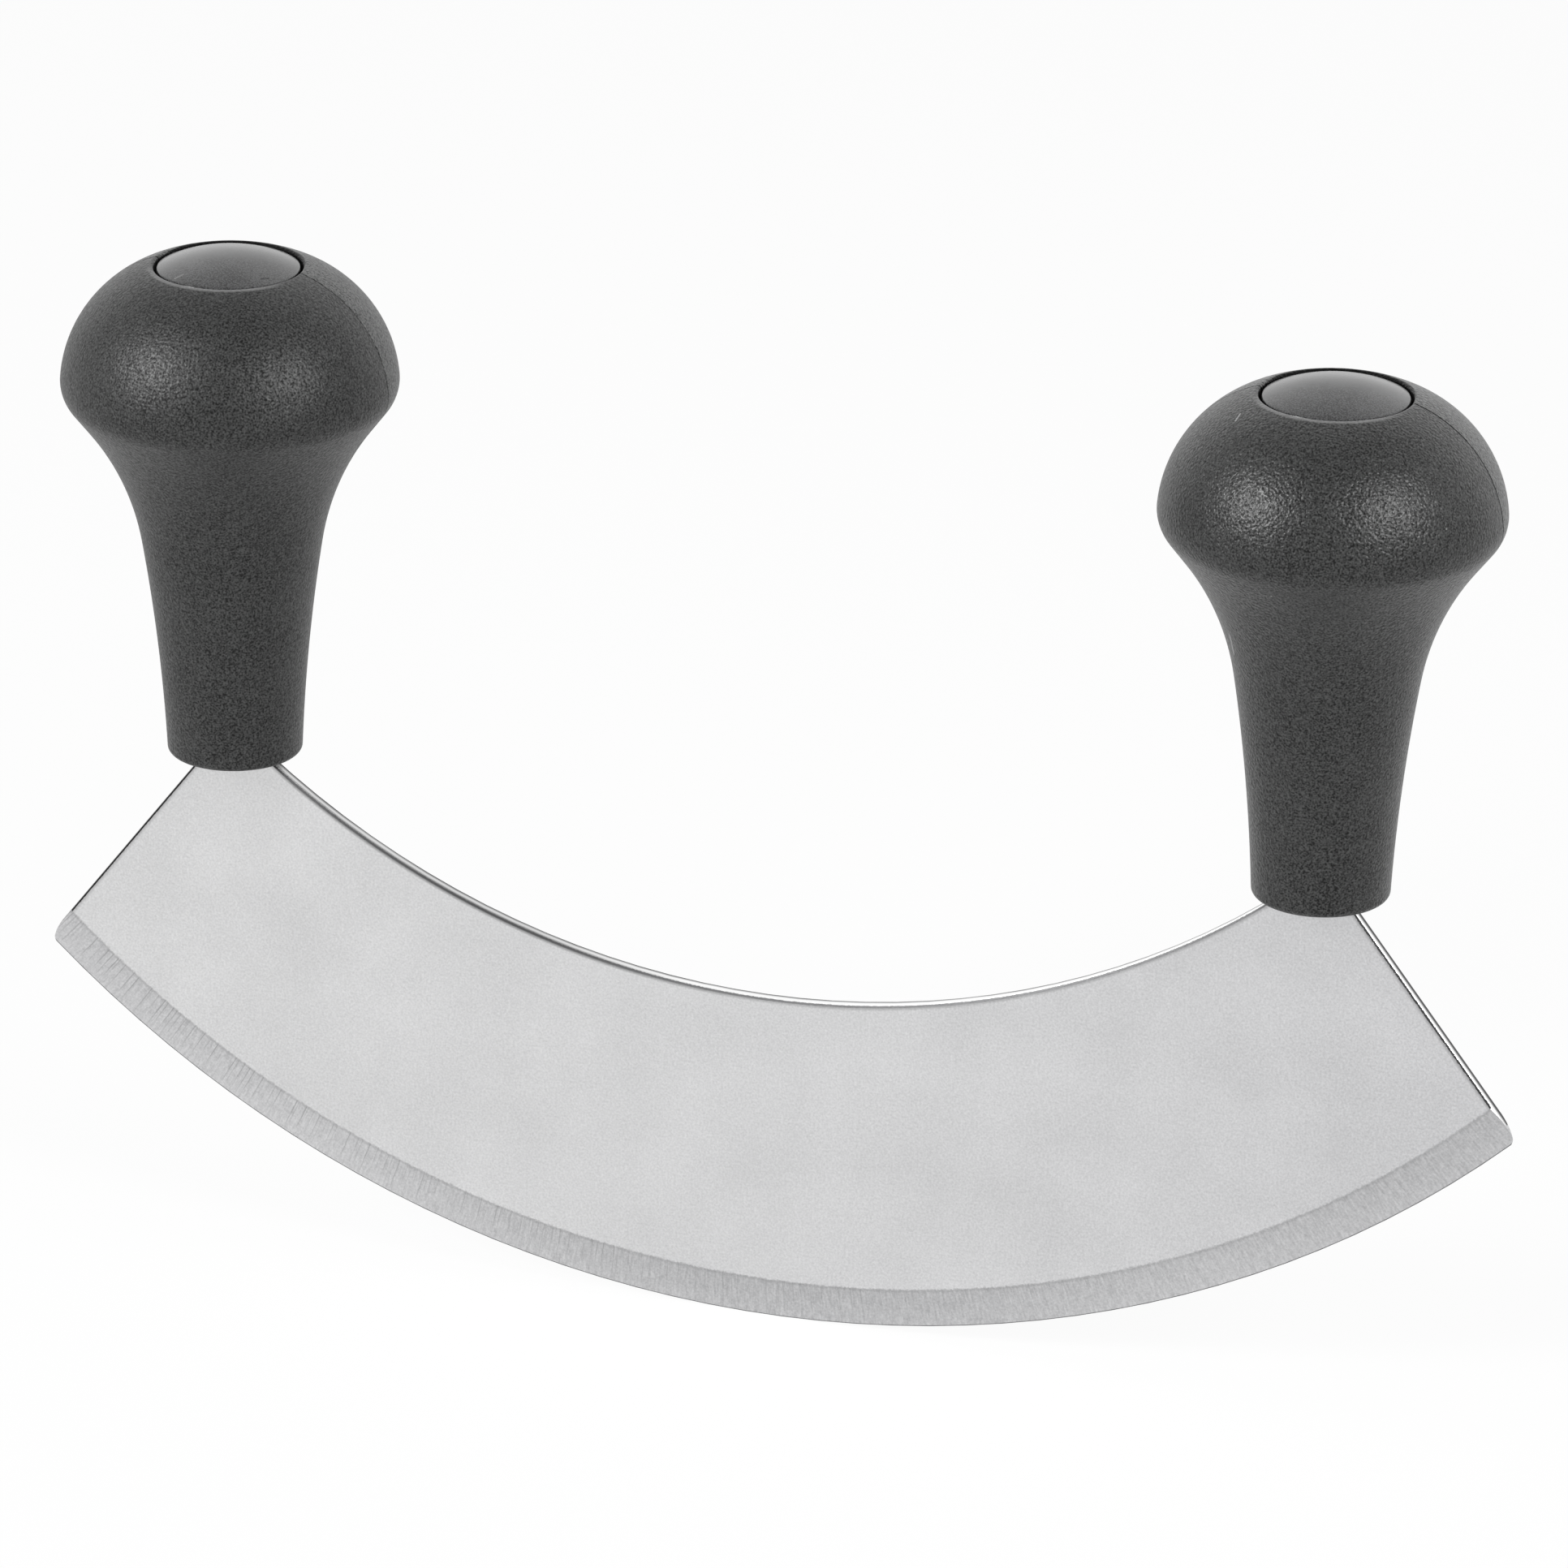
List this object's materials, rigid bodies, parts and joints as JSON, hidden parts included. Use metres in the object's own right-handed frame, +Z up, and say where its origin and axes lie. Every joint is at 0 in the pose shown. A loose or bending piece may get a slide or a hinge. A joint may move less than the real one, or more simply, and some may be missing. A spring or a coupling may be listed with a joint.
{
  "type": "mezzaluna",
  "caption": "Rocking herb knife: a crescent steel blade with a ground bevel, held by upright knob handles at its ends.",
  "frame": {"origin": "lowest point of the cutting edge, at mid length and mid thickness", "axes": "+X along the blade from the left handle to the right handle, +Y through the blade's thickness to its back, +Z up towards the handles"},
  "size_m": [0.1898, 0.0416, 0.1315],
  "materials": {
    "blade_steel": "fine satin, ground bevel",
    "handle_plastic": "fine moulded grain",
    "cap_plastic": "smooth satin",
    "washer_steel": "plain stamped"
  },
  "bodies": {
    "root": {"blade": "blade_steel", "left_handle": "handle_plastic", "right_handle": "handle_plastic", "left_cap": "cap_plastic", "right_cap": "cap_plastic", "left_washer": "washer_steel", "right_washer": "washer_steel"}
  },
  "joints": []
}
